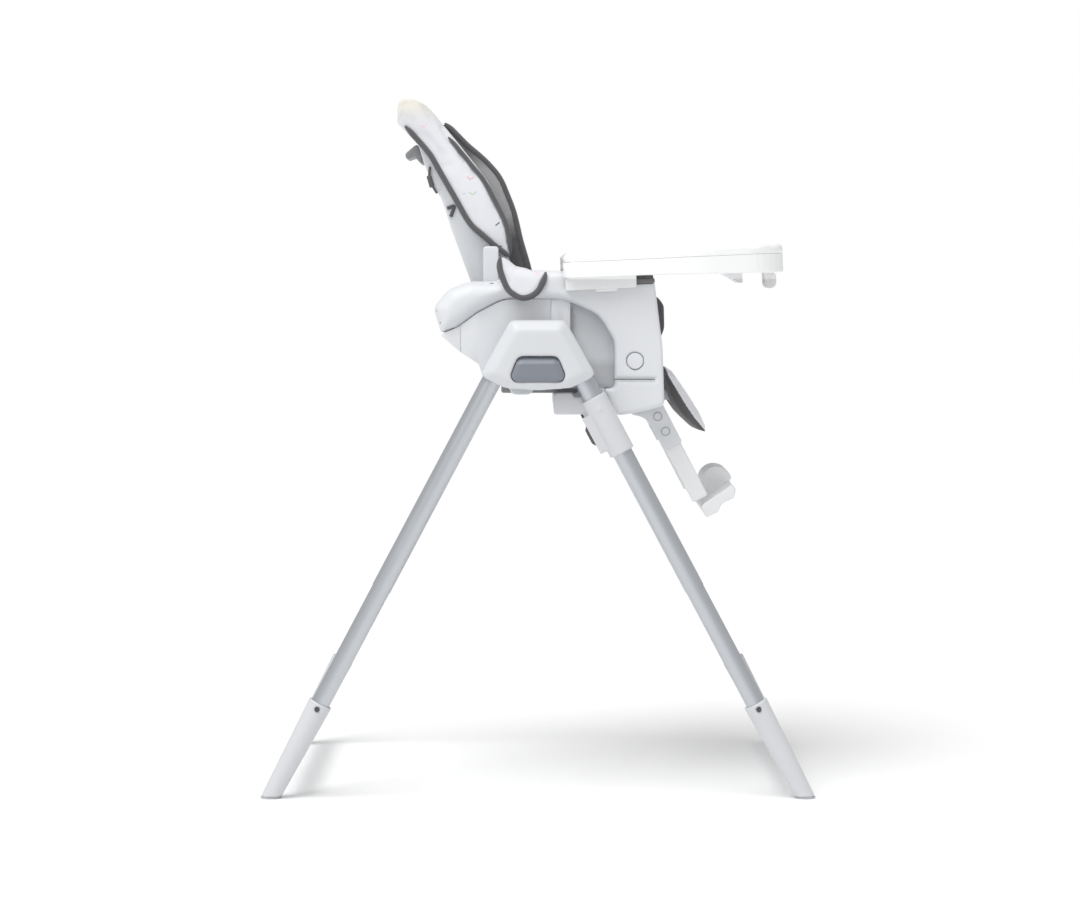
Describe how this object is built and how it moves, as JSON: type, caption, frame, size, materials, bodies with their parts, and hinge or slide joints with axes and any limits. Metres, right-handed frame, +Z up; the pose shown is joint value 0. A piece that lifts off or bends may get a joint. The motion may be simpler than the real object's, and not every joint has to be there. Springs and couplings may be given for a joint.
{
  "type": "baby high chair",
  "caption": "Folding high chair for a baby with A-frame legs, height-adjustable padded seat, reclining back, leg rest with footplate and sliding tray.",
  "frame": {"origin": "on the floor, below the middle of the standing frame", "axes": "+X the way the child faces, +Y the child's left, +Z up"},
  "size_m": [0.8388, 0.6, 1.064],
  "materials": {
    "leg_tube": "satin silver-grey powder coat",
    "pin_steel": "plain turned steel",
    "screw_steel": "dark zinc",
    "sole_rubber": "matt",
    "foot_plastic": "fine-grained moulding",
    "hub_plastic": "fine-grained moulding",
    "button_grey": "satin",
    "seat_plastic": "fine-grained moulding",
    "dark_plastic": "satin",
    "printed_fabric": "woven, sparse printed marks",
    "dark_fabric": "woven melange",
    "webbing": "flat webbing",
    "footrest_plastic": "satin",
    "tray_plastic": "soft gloss"
  },
  "bodies": {
    "front_frame": {"front_leg_upper_left": "leg_tube", "front_leg_upper_right": "leg_tube", "front_leg_lower_left": "leg_tube", "front_leg_lower_right": "leg_tube", "front_foot_left": "foot_plastic", "front_foot_right": "foot_plastic", "front_crossbar": "leg_tube", "front_sole_pads": "sole_rubber", "front_foot_screws": "screw_steel", "hub_cover_left": "hub_plastic", "hub_cover_right": "hub_plastic", "hub_inner_plates": "hub_plastic", "hub_screws": "screw_steel", "fold_pivot_pins": "pin_steel"},
    "rear_frame": {"rear_leg_upper_left": "leg_tube", "rear_leg_upper_right": "leg_tube", "rear_leg_lower_left": "leg_tube", "rear_leg_lower_right": "leg_tube", "rear_foot_left": "foot_plastic", "rear_foot_right": "foot_plastic", "rear_crossbar": "leg_tube", "rear_sole_pads": "sole_rubber", "rear_foot_screws": "screw_steel"},
    "fold_button_left": {"fold_button_left": "button_grey"},
    "fold_button_right": {"fold_button_right": "button_grey"},
    "seat": {"seat_pan": "seat_plastic", "seat_side_left": "seat_plastic", "seat_side_right": "seat_plastic", "side_panel_left": "seat_plastic", "side_panel_right": "seat_plastic", "carriage_left": "foot_plastic", "carriage_right": "foot_plastic", "carriage_beam": "seat_plastic", "recline_bracket": "dark_plastic", "crotch_post": "dark_plastic", "seat_cushion": "printed_fabric", "hip_wing_left": "printed_fabric", "hip_wing_right": "printed_fabric", "lap_harness": "webbing", "buckle": "dark_plastic", "recline_pin": "pin_steel", "legrest_pin": "pin_steel", "tray_rails": "seat_plastic"},
    "buckle_button": {"buckle_button": "button_grey"},
    "height_trigger_left": {"height_trigger_left": "dark_plastic"},
    "height_trigger_right": {"height_trigger_right": "dark_plastic"},
    "legrest_button_left": {"legrest_button_left": "seat_plastic"},
    "legrest_button_right": {"legrest_button_right": "seat_plastic"},
    "backrest": {"backrest_shell": "seat_plastic", "back_pad": "printed_fabric", "back_insert": "dark_fabric", "shoulder_straps": "webbing"},
    "recline_handle": {"recline_handle": "footrest_plastic"},
    "legrest": {"legrest_frame": "seat_plastic", "calf_board": "seat_plastic", "calf_pad": "dark_fabric"},
    "footrest": {"footrest": "footrest_plastic"},
    "tray": {"tray_base": "tray_plastic"},
    "tray_top": {"tray_top": "tray_plastic"},
    "tray_latch": {"tray_latch": "tray_plastic"}
  },
  "joints": [
    {"name": "rear_leg_fold", "type": "hinge", "parent": "front_frame", "child": "rear_frame", "pos_m": [-0.052, 0, 0.66], "axis": [0, -1, 0], "range_deg": [0, 50]},
    {"name": "fold_button_left_press", "type": "slide", "parent": "front_frame", "child": "fold_button_left", "axis": [0, -1, 0], "range_m": [0, 0.004], "stiffness_N_per_m": 400},
    {"name": "fold_button_right_press", "type": "slide", "parent": "front_frame", "child": "fold_button_right", "axis": [0, 1, 0], "range_m": [0, 0.004], "stiffness_N_per_m": 400},
    {"name": "seat_height", "type": "slide", "parent": "front_frame", "child": "seat", "axis": [0.4695, 0, -0.8829], "range_m": [0, 0.2]},
    {"name": "height_trigger_left_press", "type": "slide", "parent": "seat", "child": "height_trigger_left", "axis": [0.8829, 0, 0.4695], "range_m": [0, 0.004], "stiffness_N_per_m": 400},
    {"name": "height_trigger_right_press", "type": "slide", "parent": "seat", "child": "height_trigger_right", "axis": [0.8829, 0, 0.4695], "range_m": [0, 0.004], "stiffness_N_per_m": 400},
    {"name": "legrest_button_left_press", "type": "slide", "parent": "seat", "child": "legrest_button_left", "axis": [0, -1, 0], "range_m": [0, 0.004], "stiffness_N_per_m": 400},
    {"name": "legrest_button_right_press", "type": "slide", "parent": "seat", "child": "legrest_button_right", "axis": [0, 1, 0], "range_m": [0, 0.004], "stiffness_N_per_m": 400},
    {"name": "buckle_button_press", "type": "slide", "parent": "seat", "child": "buckle_button", "axis": [0, 0, -1], "range_m": [0, 0.0025], "stiffness_N_per_m": 400},
    {"name": "back_recline", "type": "hinge", "parent": "seat", "child": "backrest", "pos_m": [-0.027, 0, 0.62], "axis": [0, -1, 0], "range_deg": [0, 27]},
    {"name": "recline_handle_pull", "type": "slide", "parent": "backrest", "child": "recline_handle", "axis": [-0.3627, 0, 0.9319], "range_m": [0, 0.008], "stiffness_N_per_m": 500},
    {"name": "legrest_swing", "type": "hinge", "parent": "seat", "child": "legrest", "pos_m": [0.168, 0, 0.604], "axis": [0, -1, 0], "range_deg": [0, 50]},
    {"name": "footrest_slide", "type": "slide", "parent": "legrest", "child": "footrest", "axis": [-0.4618, 0, 0.887], "range_m": [0, 0.05]},
    {"name": "tray_slide", "type": "slide", "parent": "seat", "child": "tray", "axis": [0.999, 0, 0.0454], "range_m": [0, 0.16]},
    {"name": "tray_top_lift", "type": "slide", "parent": "tray", "child": "tray_top", "axis": [-0.0454, 0, 0.999], "range_m": [0, 0.06]},
    {"name": "tray_latch_squeeze", "type": "slide", "parent": "tray", "child": "tray_latch", "axis": [-0.999, 0, -0.0454], "range_m": [0, 0.008], "stiffness_N_per_m": 400}
  ]
}
